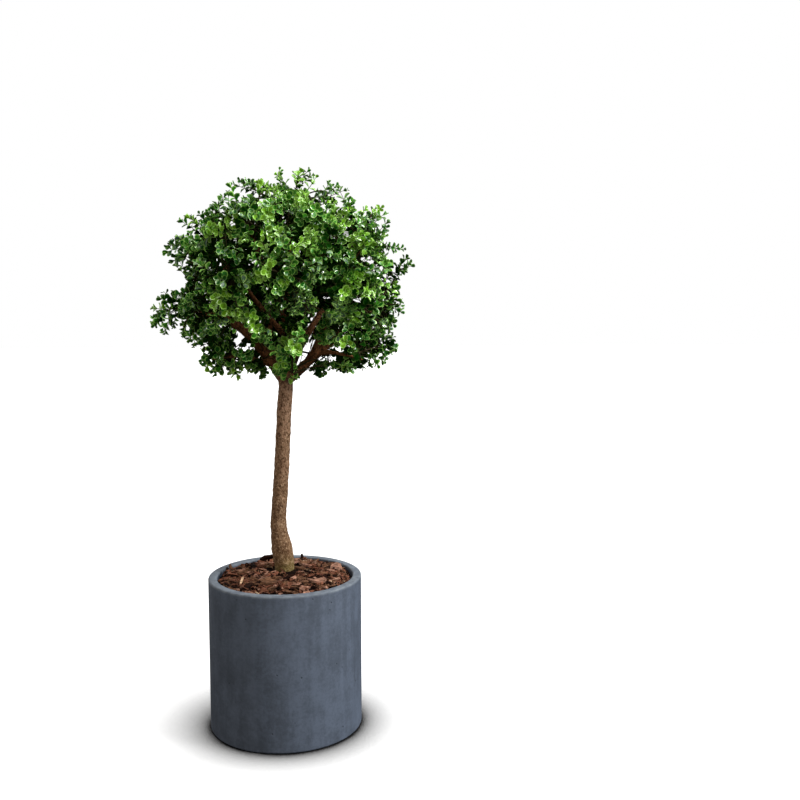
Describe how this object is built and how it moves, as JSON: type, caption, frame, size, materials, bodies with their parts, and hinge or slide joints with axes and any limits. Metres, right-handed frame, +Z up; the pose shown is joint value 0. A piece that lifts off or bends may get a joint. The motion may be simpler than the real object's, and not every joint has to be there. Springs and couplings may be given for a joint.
{
  "type": "artificial box topiary ball in a planter",
  "caption": "Artificial box ball: a loose round head of small box leaves on a bare wooden stem, standing in a round fibre-clay planter that is topped with bark chips.",
  "frame": {"origin": "middle of the planter's flat underside", "axes": "+Z up along the stem, +X to the right and -Y to the front as the picture sees it"},
  "size_m": [0.5718, 0.5264, 1.2408],
  "materials": {
    "fibre_clay": "matte slate grey with faint mottling",
    "potting_filling": "rough dark brown",
    "bark_chips": "rough reddish brown",
    "stem_wood": "fine bumpy bark, matte",
    "box_leaves": "satin green leaves"
  },
  "bodies": {
    "root": {"planter": "fibre_clay", "filling": "potting_filling", "bark_mulch": "bark_chips", "trunk": "stem_wood", "bough_left": "stem_wood", "bough_right": "stem_wood", "bough_top": "stem_wood", "bough_back_left": "stem_wood", "bough_back_right": "stem_wood", "bough_front_left": "stem_wood", "bough_low_left": "stem_wood", "bough_upper_left": "stem_wood", "bough_front_right": "stem_wood", "bough_low_right": "stem_wood", "bough_upper_right": "stem_wood", "bough_front": "stem_wood", "bough_upper_front_left": "stem_wood", "bough_upper_front_right": "stem_wood", "bough_upper_back": "stem_wood", "bough_low_front": "stem_wood", "bough_low_back": "stem_wood", "foliage_left": "box_leaves", "foliage_right": "box_leaves", "foliage_top": "box_leaves", "foliage_back_left": "box_leaves", "foliage_back_right": "box_leaves", "foliage_front_left": "box_leaves", "foliage_low_left": "box_leaves", "foliage_upper_left": "box_leaves", "foliage_front_right": "box_leaves", "foliage_low_right": "box_leaves", "foliage_upper_right": "box_leaves", "foliage_front": "box_leaves", "foliage_upper_front_left": "box_leaves", "foliage_upper_front_right": "box_leaves", "foliage_upper_back": "box_leaves", "foliage_low_front": "box_leaves", "foliage_low_back": "box_leaves"}
  },
  "joints": []
}
